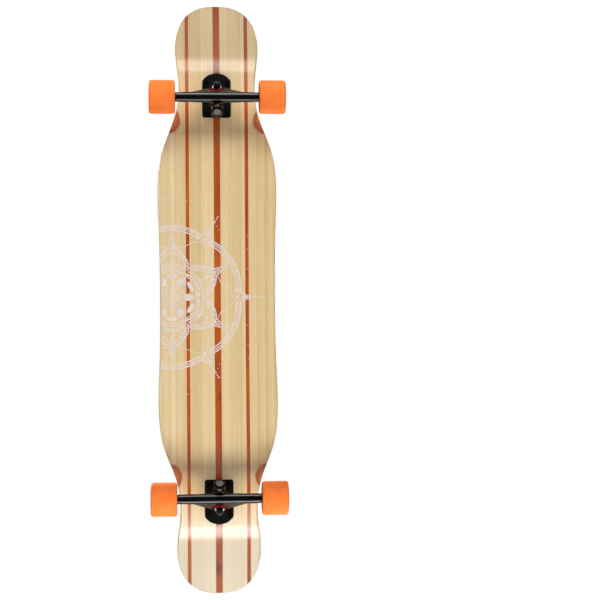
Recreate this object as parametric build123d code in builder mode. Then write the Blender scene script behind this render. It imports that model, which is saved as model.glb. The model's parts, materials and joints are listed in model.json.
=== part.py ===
"""A dancing longboard: bamboo deck with wheel wells, two reverse-kingpin trucks, four wheels.

Row frame, in millimetres: +X points to the nose, the axles lie along Y, +Z is up, and the
origin is on the ground under the middle of the deck. The board is the same at both ends, so
every truck piece is modelled at the nose and turned half a turn about Z for the tail.
"""

import os
from math import atan2, cos, degrees, radians, sin, sqrt, tan

from build123d import *

os.makedirs("parts", exist_ok=True)

BEYOND = 200.0  # more than any cut has to reach

# ---- Deck -----------------------------------------------------------------------------------
HALF_LENGTH = 584.0
TIP_BLUNT_X = 578.0
DECK_UNDERSIDE = 98.5  # height of the flat underside where the trucks bolt on
DECK_THICKNESS = 12.0
FACE_PLY = 1.2
GRIP_THICKNESS = 0.8
EDGE_RADIUS = 3.0
FLAT_START = 345.0  # the flat truck zone, measured from the middle of the deck
FLAT_END = 450.0
CAMBER_RISE = 14.0
CAMBER_SHARE = 2.0 / 3.0  # part of the camber's length that arches, before it turns back
KICK_ANGLE = 12.0
KICK_RADIUS = 230.0
LAST_SEAM_X = 500.0  # outboard of where the kick's bend ends, and of every seam across the deck

# Quarter outline from the waist to the tip, as (distance from the middle, half width).
OUTLINE = [
    (0.0, 114.0),
    (128.0, 115.6),
    (206.0, 117.9),
    (249.0, 116.0),
    (285.0, 110.0),
    (321.0, 97.6),
    (362.0, 82.6),
    (405.0, 76.0),
    (441.0, 77.0),
    (493.0, 82.3),
    (536.0, 75.6),
    (560.0, 62.4),
    (TIP_BLUNT_X, 37.0),
    (HALF_LENGTH, 0.0),
]

CENTRE_STRINGER_WIDTH = 13.0
SIDE_STRINGER_WIDTH = 7.0
SIDE_STRINGER_Y = 58.6

GRIP_INSET = 4.5
GRIP_MIDDLE_X = 300.0  # where the inner edge of the grip crosses the centre line
GRIP_ARC_RADIUS = 162.0

WELL_X = 353.0
WELL_Y = 99.5
WELL_RADIUS = 29.8  # of the circle where the well leaves the underside
WELL_BALL_RADIUS = 70.0

# ---- Trucks ---------------------------------------------------------------------------------
AXLE_X = 388.7
AXLE_Z = 32.5
STEER_ANGLE = 43.0  # of the steering axis above the horizontal
RAKE = 16.0  # from the axle's centre up to the steering axis
RING_U = 32.0  # from the foot of the rake, along the steering axis, to the kingpin
BOLT_SPACING_X = 63.5
BOLT_SPACING_Y = 41.3
BOLT_CENTRE_X = 396.7

PLATE_THICKNESS = 6.0
PLATE_INNER_X = 357.5
PLATE_SHOULDER_X = 430.0
PLATE_TIP_X = 445.0
PLATE_HALF_WIDTH = 28.25
PLATE_CORNER = 5.0
BOSS_RADIUS = 16.0
BOSS_BOTTOM_W = 18.5
HOUSING_RADIUS = 11.0
HOUSING_END_U = -26.0
HOUSING_MOUTH_U = -11.5
PYLON_HALF_WIDTH = 11.0
# The pylon's lower edge from the pivot housing to the kingpin boss, in u and w (see below).
PYLON_EDGE = [
    (HOUSING_END_U + 3.0, 0.0),
    (HOUSING_MOUTH_U, 0.0),
    (HOUSING_MOUTH_U, 6.5),
    (-6.0, 8.5),
    (2.0, 14.5),
    (12.0, BOSS_BOTTOM_W + 1.0),
]
HOUSING_CHAMFER = 4.0
HOUSING_LIP = 1.0

CUP_RADIUS = 8.5
CUP_MOUTH_U = -12.0
CUP_END_U = -22.8
NOSE_RADIUS = 5.5
NOSE_END_U = -21.0
NOSE_ROOT_U = 14.0  # inside the web
RUNNING_CLEARANCE = 0.05

TUBE_RADIUS = 9.75
TUBE_END_RADIUS = 8.75
HANGER_HALF_WIDTH = 90.0
WEB_HALF_WIDTH = 60.0
TAPER_Y = 64.0  # where the tube starts to taper towards each end
WEB_FILLET = 2.5
RING_RADIUS = 19.0
RING_HOLE_RADIUS = 8.8
RING_TOP_W = 5.0
SEAT_W = 3.0  # height of each bushing seat from the middle of the ring
SEAT_CLEARANCE = 0.7
POCKET_RADIUS = 15.0
TUBE_END_CHAMFER = 1.0
# The web between the axle tube and the ring is where three outlines meet: from the side in u
# and w, and half of it from above in u and y, and half from the front in y and w.
WEB_SIDE = [
    (-6.0, -RAKE),
    (-4.0, -6.0),
    (9.0, RING_TOP_W),
    (RING_U + RING_RADIUS, RING_TOP_W),
    (RING_U + RING_RADIUS, -SEAT_W - 1.0),
    (7.0, -RAKE - 5.0),
]
WEB_PLAN = [
    (-8.0, 16.0),
    (-6.0, WEB_HALF_WIDTH),
    (6.0, WEB_HALF_WIDTH),
    (RING_U + 6.0, RING_RADIUS - 1.0),
]
WEB_FRONT = [
    (RING_RADIUS, RING_TOP_W),
    (WEB_HALF_WIDTH, 4.0 - RAKE),
    (BEYOND, 4.0 - RAKE),
    (BEYOND, -RAKE - TUBE_RADIUS),
]

AXLE_RADIUS = 4.0
AXLE_HALF_LENGTH = 124.0
AXLE_CHAMFER = 0.8

BUSHING_RADIUS = 13.5
BUSHING_HOLE_RADIUS = 5.2
BUSHING_EDGE = 1.5
BOARDSIDE_HEIGHT = 14.0
ROADSIDE_HEIGHT = 12.0
CONE_END_RADIUS = 9.5
WASHER_THICKNESS = 1.5
WASHER_CLEARANCE = 0.1
WASHER_CHAMFER = 0.4
BOARD_WASHER_RADIUS = 14.6
ROAD_WASHER_RADIUS = 8.9

KINGPIN_RADIUS = 5.0
KINGPIN_END_W = -27.5
KINGPIN_HEAD_W = 31.0
KINGPIN_HEAD_HEIGHT = 5.0
KINGPIN_HEAD_RADIUS = 8.4
KINGPIN_NUT_RADIUS = 8.1
KINGPIN_NUT_HEIGHT = 8.5
KINGPIN_CHAMFER = 0.8
HEAD_CLEARANCE = 0.4
# Each nut is a hexagon for part of its height, with a round collar above it.
NUT_HEX_SHARE = 0.7
NUT_COLLAR_SHARE = 0.82

# ---- Mounting bolts -------------------------------------------------------------------------
BOLT_RADIUS = 2.4
BOLT_HOLE_RADIUS = 2.8
BOLT_HEAD_RADIUS = 4.75
BOLT_HEAD_HEIGHT = 2.9
BOLT_HEAD_CLEARANCE = 0.1
BOLT_SOCKET_RADIUS = 1.75
BOLT_SOCKET_DEPTH = 2.0
BOLT_END_Z = 85.5
BOLT_NUT_RADIUS = 4.6
BOLT_NUT_HEIGHT = 5.0
HEX = 6

# ---- Wheels and bearings --------------------------------------------------------------------
WHEEL_RADIUS = 32.5
WHEEL_INNER_Y = 81.5
WHEEL_WIDTH = 51.0
LIP_RADIUS = 5.0
CORE_RADIUS = 17.0
FACE_RADIUS = 25.0  # where each dished face meets the wheel's flat side
CORE_INNER_Y = 89.5
CORE_OUTER_Y = 117.5
CORE_CHAMFER = 0.6
POCKETS = 8
POCKET_PITCH_RADIUS = 14.0
POCKET_LENGTH = 7.0
POCKET_WIDTH = 2.6
POCKET_DEPTH = 4.0
SPEED_RING = 1.2
BEARING_WIDTH = 7.0
SPACER_LENGTH = 10.0
BEARING_RADIUS = 11.0
OUTER_RACE_RADIUS = 9.2
INNER_RACE_RADIUS = 6.2
BALL_RADIUS = 1.98
BALL_PITCH_RADIUS = 7.7
BALLS = 7
SHIELD_THICKNESS = 0.4
SHIELD_GAP = 0.4
SPACER_RADIUS = 5.6
SHOULDER_RADIUS = 9.6
AXLE_NUT_RADIUS = 7.4
AXLE_NUT_HEIGHT = 6.5

FIRST_BEARING_Y = HANGER_HALF_WIDTH + SPEED_RING
SECOND_BEARING_Y = FIRST_BEARING_Y + BEARING_WIDTH + SPACER_LENGTH
STACK_END_Y = SECOND_BEARING_Y + BEARING_WIDTH
WHEEL_OUTER_Y = WHEEL_INNER_Y + WHEEL_WIDTH

# ---- Places worked out from the sizes above -------------------------------------------------
STEER_COS = cos(radians(STEER_ANGLE))
STEER_SIN = sin(radians(STEER_ANGLE))
STEER_FOOT = Vector(AXLE_X - RAKE * STEER_SIN, 0, AXLE_Z + RAKE * STEER_COS)
# In this plane local x runs outboard along the steering axis, local z along the kingpin
# towards the deck, and local y is the row's Y. They are called u, w and y below.
STEER_PLANE = Plane(
    origin=STEER_FOOT,
    x_dir=(STEER_COS, 0, STEER_SIN),
    z_dir=(-STEER_SIN, 0, STEER_COS),
)
# The same frame seen from the side, for profiles in u and w.
SIDE_PLANE = Plane(origin=STEER_FOOT, x_dir=STEER_PLANE.x_dir, z_dir=(0, -1, 0))
# Seen along the steering axis, for profiles in y and w.
FRONT_PLANE = Plane(origin=STEER_FOOT, x_dir=(0, 1, 0), z_dir=STEER_PLANE.x_dir)
STEER_AXIS = Axis(STEER_FOOT, STEER_PLANE.x_dir)
KINGPIN_AXIS = Axis(STEER_PLANE.from_local_coords(Vector(RING_U, 0, 0)), STEER_PLANE.z_dir)
# Along the axle, for profiles in y and radius.
AXLE_PLANE = Plane(origin=(AXLE_X, 0, AXLE_Z), x_dir=(0, 1, 0), z_dir=(1, 0, 0))
AXLE_AXIS = Axis((AXLE_X, 0, AXLE_Z), (0, 1, 0))
DECK_TOP = DECK_UNDERSIDE + DECK_THICKNESS
BOLT_CONE_ANGLE = degrees(2 * atan2(BOLT_HEAD_RADIUS - BOLT_RADIUS, BOLT_HEAD_HEIGHT))
PLATE_BOTTOM = DECK_UNDERSIDE - PLATE_THICKNESS


def steer_point(u, w):
    """The row's X and Z of a point of the steering plane."""
    place = STEER_PLANE.from_local_coords(Vector(u, 0, w))
    return place.X, place.Z


def kingpin_plane(w):
    """The plane across the kingpin at height w, with its origin on the kingpin."""
    return Plane(
        origin=STEER_PLANE.from_local_coords(Vector(RING_U, 0, w)),
        x_dir=STEER_PLANE.x_dir,
        z_dir=STEER_PLANE.z_dir,
    )


def save(piece, name):
    """Labels a finished piece and writes it to its own file."""
    piece.label = name
    export_step(piece, f"parts/{name}.step")


def save_for_trucks(piece, name):
    """Writes a nose truck's piece, and the same piece turned round for the tail truck."""
    save(piece, f"front_{name}")
    save(piece.rotate(Axis.Z, 180), f"rear_{name}")


# ---- Deck -----------------------------------------------------------------------------------
def side_edges(height):
    """Half of the deck's side view, from the middle to the tip, at a height above its underside.

    Returns points in order, where each even one starts a stretch and each odd one lies on it:
    arch, counter-arch, flat, kick and tip.
    """
    camber_turn = 2 * atan2(CAMBER_RISE, FLAT_START)
    arch_radius = FLAT_START * CAMBER_SHARE / sin(camber_turn) + height
    counter_radius = FLAT_START * (1 - CAMBER_SHARE) / sin(camber_turn) - height
    arch_z = DECK_UNDERSIDE + CAMBER_RISE + height - arch_radius
    counter_z = DECK_UNDERSIDE + height + counter_radius
    kick_turn = radians(KICK_ANGLE)
    kick_radius = KICK_RADIUS - height
    kick_z = DECK_UNDERSIDE + height + kick_radius
    kick_end_x = FLAT_END + kick_radius * sin(kick_turn)
    kick_end_z = kick_z - kick_radius * cos(kick_turn)
    tip_x = HALF_LENGTH + DECK_THICKNESS
    tip_z = kick_end_z + (tip_x - kick_end_x) * tan(kick_turn)

    def on_arch(turn):
        return arch_radius * sin(turn), arch_z + arch_radius * cos(turn)

    def on_counter(turn):
        return FLAT_START - counter_radius * sin(turn), counter_z - counter_radius * cos(turn)

    def on_kick(turn):
        return FLAT_END + kick_radius * sin(turn), kick_z - kick_radius * cos(turn)

    return [
        on_arch(0),
        on_arch(camber_turn / 2),
        on_arch(camber_turn),
        on_counter(camber_turn / 2),
        on_counter(0),
        ((FLAT_START + FLAT_END) / 2, DECK_UNDERSIDE + height),
        on_kick(0),
        on_kick(kick_turn / 2),
        on_kick(kick_turn),
        ((kick_end_x + tip_x) / 2, (kick_end_z + tip_z) / 2),
        (tip_x, tip_z),
    ]


def draw_side(points):
    """Draws a side_edges list in the line builder that is open: arcs where the deck bends."""
    ThreePointArc(points[0], points[1], points[2])
    ThreePointArc(points[2], points[3], points[4])
    Line(points[4], points[6])
    ThreePointArc(points[6], points[7], points[8])
    Line(points[8], points[10])


def layer_profile(bottom, top):
    """The side view of the layer between two heights above the underside."""
    low = side_edges(bottom)
    high = side_edges(top)
    with BuildSketch(Plane.XZ) as profile:
        with BuildLine():
            draw_side(low)
            draw_side([(-x, z) for x, z in low])
            draw_side(high)
            draw_side([(-x, z) for x, z in high])
            Line(low[-1], high[-1])
            Line((-low[-1][0], low[-1][1]), (-high[-1][0], high[-1][1]))
        make_face()
    return profile.sketch


def plan_outline(inset=0.0):
    """The deck's plan, drawn a distance inside its edge, from a quarter mirrored both ways."""
    with BuildLine(mode=Mode.PRIVATE):
        quarter = Spline(*OUTLINE, tangents=[(1, 0), (0, -1)])
    stations = [quarter.param_at_point(Vector(*point)) for point in OUTLINE]
    inner = [
        quarter.position_at(station) + quarter.tangent_at(station).rotate(Axis.Z, -90) * inset
        for station in stations
    ]
    with BuildSketch() as outline:
        with BuildLine():
            Spline(*inner, tangents=[(1, 0), (0, -1)])
            mirror(about=Plane.YZ)
            mirror(about=Plane.XZ)
        make_face()
    return outline.sketch


def stringer_strips():
    """The plan of the three stringers that run the whole length of a face."""
    with BuildSketch() as strips:
        Rectangle(2.2 * HALF_LENGTH, CENTRE_STRINGER_WIDTH)
        with Locations((0, SIDE_STRINGER_Y), (0, -SIDE_STRINGER_Y)):
            Rectangle(2.2 * HALF_LENGTH, SIDE_STRINGER_WIDTH)
    return strips.sketch


def rim_edges(blank):
    """The edges that run round the deck's outline, without its uprights and its cross seams."""
    level = blank.edges().filter_by(
        lambda edge: edge.length > 1 and abs(edge.tangent_at(0.5).Z) < 0.9
    )
    return [
        edge
        for edge in level
        if abs(edge.center().Y) > 1 or abs(edge.center().X) > LAST_SEAM_X
    ]


def largest_circles(piece):
    """The circular edges of the largest radius on a piece."""
    return piece.edges().filter_by(GeomType.CIRCLE).group_by(SortBy.RADIUS)[-1]


def cut_deck_holes():
    """Drills and countersinks the eight mounting bolt holes in the part that is open."""
    for end in (1, -1):
        with Locations((end * BOLT_CENTRE_X, 0, DECK_TOP + GRIP_THICKNESS)):
            with GridLocations(BOLT_SPACING_X, BOLT_SPACING_Y, 2, 2):
                CounterSinkHole(
                    radius=BOLT_HOLE_RADIUS,
                    counter_sink_radius=BOLT_HEAD_RADIUS + BOLT_HEAD_CLEARANCE,
                    counter_sink_angle=BOLT_CONE_ANGLE,
                    depth=2 * DECK_THICKNESS,
                )


# The whole deck in one piece with its rounded edges; the plies are slices of it.
with BuildPart() as deck_blank:
    extrude(layer_profile(0, DECK_THICKNESS), amount=BEYOND, both=True)
    extrude(plan_outline(), amount=BEYOND, mode=Mode.INTERSECT)
    fillet(rim_edges(deck_blank), EDGE_RADIUS)
    well_z = DECK_UNDERSIDE - sqrt(WELL_BALL_RADIUS**2 - WELL_RADIUS**2)
    for well_x in (WELL_X, -WELL_X):
        with Locations((well_x, WELL_Y, well_z), (well_x, -WELL_Y, well_z)):
            Sphere(WELL_BALL_RADIUS, mode=Mode.SUBTRACT)
    cut_deck_holes()

with BuildPart() as deck_core:
    add(deck_blank.part)
    core_slice = layer_profile(FACE_PLY, DECK_THICKNESS - FACE_PLY)
    extrude(core_slice, amount=BEYOND, both=True, mode=Mode.INTERSECT)
save(deck_core.part, "deck_core")

for face_name, low_side, high_side in (
    ("bottom", 0, FACE_PLY),
    ("top", DECK_THICKNESS - FACE_PLY, DECK_THICKNESS),
):
    with BuildPart() as face_ply:
        add(deck_blank.part)
        face_slice = layer_profile(low_side, high_side)
        extrude(face_slice, amount=BEYOND, both=True, mode=Mode.INTERSECT)
        extrude(stringer_strips(), amount=BEYOND, mode=Mode.SUBTRACT)
    save(face_ply.part, f"deck_{face_name}_ply")

    with BuildPart() as stringers:
        add(deck_blank.part)
        extrude(face_slice, amount=BEYOND, both=True, mode=Mode.INTERSECT)
        extrude(stringer_strips(), amount=BEYOND, mode=Mode.INTERSECT)
    save(stringers.part, f"deck_{face_name}_stringers")

# ---- Grip sheets ----------------------------------------------------------------------------
for grip_name, grip_turn in (("nose_grip", 0), ("tail_grip", 180)):
    with BuildPart() as grip:
        grip_slice = layer_profile(DECK_THICKNESS, DECK_THICKNESS + GRIP_THICKNESS)
        extrude(grip_slice, amount=BEYOND, both=True)
        with BuildSketch() as grip_plan:
            add(plan_outline(GRIP_INSET))
            with BuildSketch(mode=Mode.INTERSECT):
                with Locations((GRIP_MIDDLE_X + GRIP_ARC_RADIUS, 0)):
                    Circle(GRIP_ARC_RADIUS)
                with Locations((GRIP_MIDDLE_X + GRIP_ARC_RADIUS + BEYOND, 0)):
                    Rectangle(2 * BEYOND, 2 * BEYOND)
        extrude(amount=BEYOND, mode=Mode.INTERSECT)
        cut_deck_holes()
    save(grip.part.rotate(Axis.Z, grip_turn), grip_name)


def save_for_wheels(piece, name):
    """Writes a front left wheel's piece, and its copies on the other three wheels."""
    mirrored = piece.mirror(Plane.XZ)
    save(piece, f"front_left_{name}")
    save(mirrored, f"front_right_{name}")
    save(mirrored.rotate(Axis.Z, 180), f"rear_left_{name}")
    save(piece.rotate(Axis.Z, 180), f"rear_right_{name}")


# ---- Baseplate and pivot cup ----------------------------------------------------------------
with BuildPart() as baseplate:
    with BuildSketch(kingpin_plane(BOSS_BOTTOM_W)):
        Circle(BOSS_RADIUS)
    extrude(amount=BEYOND)
    with Locations(((PLATE_INNER_X + PLATE_TIP_X) / 2, 0, DECK_UNDERSIDE / 2)):
        Box(
            PLATE_TIP_X - PLATE_INNER_X - 2,
            BEYOND,
            DECK_UNDERSIDE,
            mode=Mode.INTERSECT,
        )
    # The pylon that carries the pivot down from the plate.
    with BuildSketch(Plane.XZ) as pylon_side:
        with BuildLine():
            Polyline(
                *[steer_point(u, w) for u, w in PYLON_EDGE],
                (AXLE_X, PLATE_BOTTOM + 1),
                (PLATE_INNER_X + 2, PLATE_BOTTOM + 1),
                close=True,
            )
        make_face()
    extrude(amount=PYLON_HALF_WIDTH, both=True)
    # The pivot housing, round about the steering axis.
    with BuildSketch(SIDE_PLANE):
        with BuildLine():
            Polyline(
                (HOUSING_END_U, 0),
                (HOUSING_END_U, HOUSING_RADIUS - HOUSING_CHAMFER),
                (HOUSING_END_U + HOUSING_CHAMFER, HOUSING_RADIUS),
                (HOUSING_MOUTH_U - HOUSING_LIP, HOUSING_RADIUS),
                (HOUSING_MOUTH_U, HOUSING_RADIUS - HOUSING_LIP),
                (HOUSING_MOUTH_U, 0),
                close=True,
            )
        make_face()
    revolve(axis=STEER_AXIS)
    # The plate itself: square inboard, domed outboard.
    with BuildSketch(Plane.XY.offset(PLATE_BOTTOM)) as plate_plan:
        with BuildLine():
            Polyline(
                (PLATE_SHOULDER_X, -PLATE_HALF_WIDTH),
                (PLATE_INNER_X, -PLATE_HALF_WIDTH),
                (PLATE_INNER_X, PLATE_HALF_WIDTH),
                (PLATE_SHOULDER_X, PLATE_HALF_WIDTH),
            )
            ThreePointArc(
                (PLATE_SHOULDER_X, PLATE_HALF_WIDTH),
                (PLATE_TIP_X, 0),
                (PLATE_SHOULDER_X, -PLATE_HALF_WIDTH),
            )
        make_face()
        fillet(plate_plan.vertices().group_by(Axis.X)[0], PLATE_CORNER)
    extrude(amount=PLATE_THICKNESS)
    # Pocket for the pivot cup, hole and head pocket for the kingpin, four bolt holes.
    with BuildSketch(SIDE_PLANE):
        with Locations(((CUP_END_U + HOUSING_MOUTH_U + 1) / 2, CUP_RADIUS / 2)):
            Rectangle(HOUSING_MOUTH_U + 1 - CUP_END_U, CUP_RADIUS)
    revolve(axis=STEER_AXIS, mode=Mode.SUBTRACT)
    with BuildSketch(kingpin_plane(BOSS_BOTTOM_W - 1)):
        Circle(KINGPIN_RADIUS)
    extrude(amount=BEYOND, mode=Mode.SUBTRACT)
    with BuildSketch(kingpin_plane(KINGPIN_HEAD_W)):
        Circle(KINGPIN_HEAD_RADIUS + HEAD_CLEARANCE)
    extrude(amount=BEYOND, mode=Mode.SUBTRACT)
    with Locations((BOLT_CENTRE_X, 0, PLATE_BOTTOM)):
        with GridLocations(BOLT_SPACING_X, BOLT_SPACING_Y, 2, 2):
            Hole(BOLT_HOLE_RADIUS, depth=BEYOND)
save_for_trucks(baseplate.part, "baseplate")

with BuildPart() as pivot_cup:
    with BuildSketch(SIDE_PLANE):
        with BuildLine():
            Polyline(
                (CUP_END_U, 0),
                (CUP_END_U, CUP_RADIUS),
                (CUP_MOUTH_U, CUP_RADIUS),
                (CUP_MOUTH_U, NOSE_RADIUS + RUNNING_CLEARANCE),
                (NOSE_END_U + NOSE_RADIUS, NOSE_RADIUS + RUNNING_CLEARANCE),
            )
            ThreePointArc(
                (NOSE_END_U + NOSE_RADIUS, NOSE_RADIUS + RUNNING_CLEARANCE),
                (
                    NOSE_END_U + NOSE_RADIUS
                    - (NOSE_RADIUS + RUNNING_CLEARANCE) * cos(radians(45)),
                    (NOSE_RADIUS + RUNNING_CLEARANCE) * sin(radians(45)),
                ),
                (NOSE_END_U - RUNNING_CLEARANCE, 0),
            )
            Line((NOSE_END_U - RUNNING_CLEARANCE, 0), (CUP_END_U, 0))
        make_face()
    revolve(axis=STEER_AXIS)
save_for_trucks(pivot_cup.part, "pivot_cup")

# ---- Hanger and axle ------------------------------------------------------------------------
# The cast web between the axle tube and the ring: three outlines, taken together.
with BuildPart() as hanger_web:
    with BuildSketch(SIDE_PLANE):
        with BuildLine():
            Polyline(*WEB_SIDE, close=True)
        make_face()
    extrude(amount=BEYOND, both=True)
    with BuildSketch(STEER_PLANE) as web_plan:
        with BuildLine():
            Polyline(*WEB_PLAN, *[(u, -y) for u, y in reversed(WEB_PLAN)], close=True)
        make_face()
        with Locations((RING_U, 0)):
            Circle(RING_RADIUS)
    extrude(amount=BEYOND, both=True, mode=Mode.INTERSECT)
    with BuildSketch(FRONT_PLANE):
        with BuildLine():
            Polyline(*WEB_FRONT, *[(-y, w) for y, w in reversed(WEB_FRONT)], close=True)
        make_face()
    extrude(amount=BEYOND, both=True, mode=Mode.INTERSECT)
    fillet(hanger_web.edges(), WEB_FILLET)

with BuildPart() as hanger:
    add(hanger_web.part)
    with BuildSketch(AXLE_PLANE):
        with BuildLine():
            Polyline(
                (-HANGER_HALF_WIDTH, 0),
                (-HANGER_HALF_WIDTH, TUBE_END_RADIUS - TUBE_END_CHAMFER),
                (-HANGER_HALF_WIDTH + TUBE_END_CHAMFER, TUBE_END_RADIUS),
                (-TAPER_Y, TUBE_RADIUS),
                (TAPER_Y, TUBE_RADIUS),
                (HANGER_HALF_WIDTH - TUBE_END_CHAMFER, TUBE_END_RADIUS),
                (HANGER_HALF_WIDTH, TUBE_END_RADIUS - TUBE_END_CHAMFER),
                (HANGER_HALF_WIDTH, 0),
                close=True,
            )
        make_face()
    revolve(axis=AXLE_AXIS)
    with BuildSketch(SIDE_PLANE):
        with BuildLine():
            Polyline(
                (NOSE_END_U, 0),
                (NOSE_ROOT_U, 0),
                (NOSE_ROOT_U, NOSE_RADIUS),
                (NOSE_END_U + NOSE_RADIUS, NOSE_RADIUS),
            )
            ThreePointArc(
                (NOSE_END_U + NOSE_RADIUS, NOSE_RADIUS),
                (
                    NOSE_END_U + NOSE_RADIUS - NOSE_RADIUS * cos(radians(45)),
                    NOSE_RADIUS * sin(radians(45)),
                ),
                (NOSE_END_U, 0),
            )
        make_face()
    revolve(axis=STEER_AXIS)
    with BuildSketch(kingpin_plane(SEAT_W)):
        Circle(BUSHING_RADIUS + SEAT_CLEARANCE)
    extrude(amount=BEYOND, mode=Mode.SUBTRACT)
    with BuildSketch(kingpin_plane(-SEAT_W)):
        Circle(POCKET_RADIUS)
    extrude(amount=-BEYOND, mode=Mode.SUBTRACT)
    with BuildSketch(kingpin_plane(-SEAT_W - 1)):
        Circle(RING_HOLE_RADIUS)
    extrude(amount=BEYOND, mode=Mode.SUBTRACT)
    with BuildSketch(AXLE_PLANE):
        with Locations((0, AXLE_RADIUS / 2)):
            Rectangle(2 * BEYOND, AXLE_RADIUS)
    revolve(axis=AXLE_AXIS, mode=Mode.SUBTRACT)
save_for_trucks(hanger.part, "hanger")

with BuildPart() as axle:
    with BuildSketch(AXLE_PLANE):
        with Locations((0, AXLE_RADIUS / 2)):
            Rectangle(2 * AXLE_HALF_LENGTH, AXLE_RADIUS)
    revolve(axis=AXLE_AXIS)
    chamfer(axle.edges(), AXLE_CHAMFER)
save_for_trucks(axle.part, "axle")

# ---- Bushings, washers and kingpin ----------------------------------------------------------
with BuildPart() as boardside_bushing:
    with BuildSketch(kingpin_plane(SEAT_W)):
        Circle(BUSHING_RADIUS)
        Circle(BUSHING_HOLE_RADIUS, mode=Mode.SUBTRACT)
    extrude(amount=BOARDSIDE_HEIGHT)
    fillet(largest_circles(boardside_bushing), BUSHING_EDGE)
save_for_trucks(boardside_bushing.part, "boardside_bushing")

with BuildPart() as roadside_bushing:
    with BuildSketch(SIDE_PLANE):
        with BuildLine():
            Polyline(
                (RING_U + BUSHING_HOLE_RADIUS, -SEAT_W),
                (RING_U + BUSHING_RADIUS, -SEAT_W),
                (RING_U + BUSHING_RADIUS, -SEAT_W - ROADSIDE_HEIGHT / 3),
                (RING_U + CONE_END_RADIUS, -SEAT_W - ROADSIDE_HEIGHT),
                (RING_U + BUSHING_HOLE_RADIUS, -SEAT_W - ROADSIDE_HEIGHT),
                close=True,
            )
        make_face()
    revolve(axis=KINGPIN_AXIS)
    fillet(largest_circles(roadside_bushing), BUSHING_EDGE / 2)
save_for_trucks(roadside_bushing.part, "roadside_bushing")

with BuildPart() as boardside_washer:
    with BuildSketch(SIDE_PLANE):
        with BuildLine():
            Polyline(
                (RING_U + KINGPIN_RADIUS, BOSS_BOTTOM_W),
                (RING_U + KINGPIN_RADIUS, BOSS_BOTTOM_W - WASHER_THICKNESS),
                (RING_U + BUSHING_RADIUS + WASHER_CLEARANCE, BOSS_BOTTOM_W - WASHER_THICKNESS),
                (RING_U + BUSHING_RADIUS + WASHER_CLEARANCE, BOSS_BOTTOM_W - 2 * WASHER_THICKNESS),
                (RING_U + BOARD_WASHER_RADIUS, BOSS_BOTTOM_W - 2 * WASHER_THICKNESS),
                (RING_U + BOARD_WASHER_RADIUS, BOSS_BOTTOM_W),
                close=True,
            )
        make_face()
    revolve(axis=KINGPIN_AXIS)
save_for_trucks(boardside_washer.part, "boardside_washer")

ROAD_WASHER_W = -SEAT_W - ROADSIDE_HEIGHT - WASHER_THICKNESS
with BuildPart() as roadside_washer:
    with BuildSketch(kingpin_plane(ROAD_WASHER_W)):
        Circle(ROAD_WASHER_RADIUS)
        Circle(KINGPIN_RADIUS, mode=Mode.SUBTRACT)
    extrude(amount=WASHER_THICKNESS)
    chamfer(largest_circles(roadside_washer), WASHER_CHAMFER)
save_for_trucks(roadside_washer.part, "roadside_washer")

with BuildPart() as kingpin_nut:
    with BuildSketch(kingpin_plane(ROAD_WASHER_W)):
        RegularPolygon(KINGPIN_NUT_RADIUS, HEX)
    extrude(amount=-KINGPIN_NUT_HEIGHT * NUT_HEX_SHARE)
    with BuildSketch(kingpin_plane(ROAD_WASHER_W)):
        Circle(KINGPIN_NUT_RADIUS * NUT_COLLAR_SHARE)
    extrude(amount=-KINGPIN_NUT_HEIGHT)
    with BuildSketch(kingpin_plane(ROAD_WASHER_W)):
        Circle(KINGPIN_RADIUS)
    extrude(amount=-BEYOND, mode=Mode.SUBTRACT)
save_for_trucks(kingpin_nut.part, "kingpin_nut")

with BuildPart() as kingpin:
    with BuildSketch(kingpin_plane(KINGPIN_END_W)):
        Circle(KINGPIN_RADIUS)
    extrude(amount=KINGPIN_HEAD_W - KINGPIN_END_W)
    chamfer(kingpin.edges().filter_by(GeomType.CIRCLE).sort_by(Axis.Z)[0], KINGPIN_CHAMFER)
    with BuildSketch(kingpin_plane(KINGPIN_HEAD_W)):
        RegularPolygon(KINGPIN_HEAD_RADIUS, HEX)
    extrude(amount=KINGPIN_HEAD_HEIGHT)
save_for_trucks(kingpin.part, "kingpin")


# ---- Mounting bolts and nuts ----------------------------------------------------------------
def bolt_sketch(z, radius, sides=0):
    """Four circles, or polygons, on the nose truck's bolt centres at a height."""
    with BuildSketch(Plane.XY.offset(z)) as figures:
        with Locations((BOLT_CENTRE_X, 0)):
            with GridLocations(BOLT_SPACING_X, BOLT_SPACING_Y, 2, 2):
                if sides:
                    RegularPolygon(radius, sides)
                else:
                    Circle(radius)
    return figures.sketch


BOLT_TOP = DECK_TOP + GRIP_THICKNESS
with BuildPart() as mounting_bolts:
    extrude(bolt_sketch(BOLT_END_Z, BOLT_RADIUS), amount=BOLT_TOP - BOLT_END_Z)
    with Locations((BOLT_CENTRE_X, 0, BOLT_TOP - BOLT_HEAD_HEIGHT / 2)):
        with GridLocations(BOLT_SPACING_X, BOLT_SPACING_Y, 2, 2):
            Cone(BOLT_RADIUS, BOLT_HEAD_RADIUS, BOLT_HEAD_HEIGHT)
    extrude(
        bolt_sketch(BOLT_TOP, BOLT_SOCKET_RADIUS, HEX),
        amount=-BOLT_SOCKET_DEPTH,
        mode=Mode.SUBTRACT,
    )
save_for_trucks(mounting_bolts.part, "mounting_bolts")

with BuildPart() as mounting_nuts:
    extrude(bolt_sketch(PLATE_BOTTOM, BOLT_NUT_RADIUS, HEX), amount=-BOLT_NUT_HEIGHT * NUT_HEX_SHARE)
    extrude(bolt_sketch(PLATE_BOTTOM, BOLT_NUT_RADIUS * NUT_COLLAR_SHARE), amount=-BOLT_NUT_HEIGHT)
    extrude(bolt_sketch(PLATE_BOTTOM, BOLT_RADIUS), amount=-BEYOND, mode=Mode.SUBTRACT)
save_for_trucks(mounting_nuts.part, "mounting_nuts")


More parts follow.
